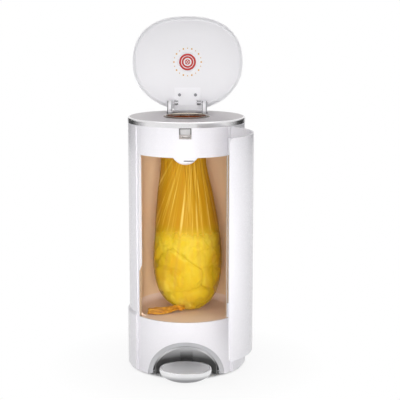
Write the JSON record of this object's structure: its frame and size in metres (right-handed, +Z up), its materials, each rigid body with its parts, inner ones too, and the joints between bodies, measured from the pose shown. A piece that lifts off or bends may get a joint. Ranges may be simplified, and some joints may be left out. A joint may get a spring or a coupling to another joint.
{
  "type": "nappy bin",
  "caption": "Upright round nappy bin with a pedal-lifted oval lid, flaps in its throat, a hanging film liner and a tall side-hung front door.",
  "frame": {"origin": "on the floor, on the axis of the round body", "axes": "+Z up, the door and pedal face -Y, +X to the right as seen by someone facing the bin"},
  "size_m": [0.277, 0.4495, 0.7834],
  "materials": {
    "amber_seal": "satin",
    "dark_grey": "matte",
    "disc_red": "satin",
    "film": "gloss",
    "gold_ring": "polished",
    "mid_grey": "satin",
    "nappy": "soft",
    "pale_grey": "satin",
    "peach": "satin",
    "rubber_black": "matte",
    "seal_grey": "matte",
    "spring_steel": "bright",
    "steel_bright": "polished",
    "steel_brushed": "brushed",
    "white_body": "gloss",
    "white_lid": "satin"
  },
  "bodies": {
    "housing": {"base_shell": "white_body", "base_plate": "pale_grey", "base_screws": "spring_steel", "foot_ring": "rubber_black", "arch_trim": "pale_grey", "pedal_tunnel": "dark_grey", "body_shell": "white_body", "latch_jamb": "white_body", "cavity_wall": "peach", "cavity_floor": "peach", "cassette_tray": "white_body", "door_hinge_pins": "spring_steel", "top_deck": "white_body", "top_plate": "steel_brushed", "polished_rim": "steel_bright", "throat_ring": "gold_ring", "throat_seal": "amber_seal", "flap_chute": "white_body", "flap_pins": "spring_steel", "liner_cassette": "pale_grey", "liner_bag": "film", "liner_knot": "film", "used_nappies": "nappy", "cutter_housing": "white_body", "cutter_blade": "spring_steel", "latch_bezel": "mid_grey", "button_spring": "spring_steel", "pedal_axle": "spring_steel", "pedal_bearings": "pale_grey", "rod_guides": "pale_grey", "return_spring": "spring_steel", "lid_axle": "spring_steel", "axle_bearings": "pale_grey"},
    "lid": {"lid_shell": "white_lid", "lid_inner_panel": "white_lid", "lid_gasket": "seal_grey", "scent_holder": "white_lid", "scent_disc": "disc_red", "lid_hinge_bracket": "white_lid", "bracket_screws": "mid_grey"},
    "door": {"door_skin": "white_body", "door_inner_panel": "white_lid", "door_catch": "pale_grey"},
    "pedal": {"pedal_lever": "dark_grey", "pedal_pad": "steel_brushed"},
    "rod": {"push_rod": "mid_grey"},
    "left_flap": {"flap_left": "dark_grey"},
    "right_flap": {"flap_right": "dark_grey"},
    "button": {"latch_button": "steel_bright"}
  },
  "joints": [
    {"name": "lid_hinge", "type": "hinge", "parent": "housing", "child": "lid", "pos_m": [0, 0.102, 0.5605], "axis": [1, 0, 0], "range_deg": [0, 96]},
    {"name": "pedal_pivot", "type": "hinge", "parent": "housing", "child": "pedal", "pos_m": [0, 0.02, 0.027], "axis": [1, 0, 0], "range_deg": [-8.8, 0]},
    {"name": "push_rod_slide", "type": "slide", "parent": "housing", "child": "rod", "axis": [0, 0, 1], "range_m": [-0.0143, 0], "deforming": ["return_spring"]},
    {"name": "left_flap_hinge", "type": "hinge", "parent": "housing", "child": "left_flap", "pos_m": [-0.0435, -0.005, 0.5535], "axis": [0, 1, 0], "range_deg": [-88, 0]},
    {"name": "right_flap_hinge", "type": "hinge", "parent": "housing", "child": "right_flap", "pos_m": [0.0435, -0.005, 0.5535], "axis": [0, 1, 0], "range_deg": [0, 88]},
    {"name": "door_hinge", "type": "hinge", "parent": "housing", "child": "door", "pos_m": [0.09395, -0.08884, 0.3], "axis": [0, 0, 1], "range_deg": [-94, 24]},
    {"name": "latch_button_press", "type": "slide", "parent": "housing", "child": "button", "axis": [0, 1, 0], "range_m": [0, 0.003], "stiffness_N_per_m": 600, "deforming": ["button_spring"]}
  ],
  "couplings": [
    {"joint": "pedal_pivot", "follows": "lid_hinge", "ratio": -0.091667},
    {"joint": "push_rod_slide", "follows": "lid_hinge", "m_per_rad": -0.0085346},
    {"joint": "left_flap_hinge", "follows": "lid_hinge", "ratio": -0.91667},
    {"joint": "right_flap_hinge", "follows": "lid_hinge", "ratio": 0.91667}
  ]
}
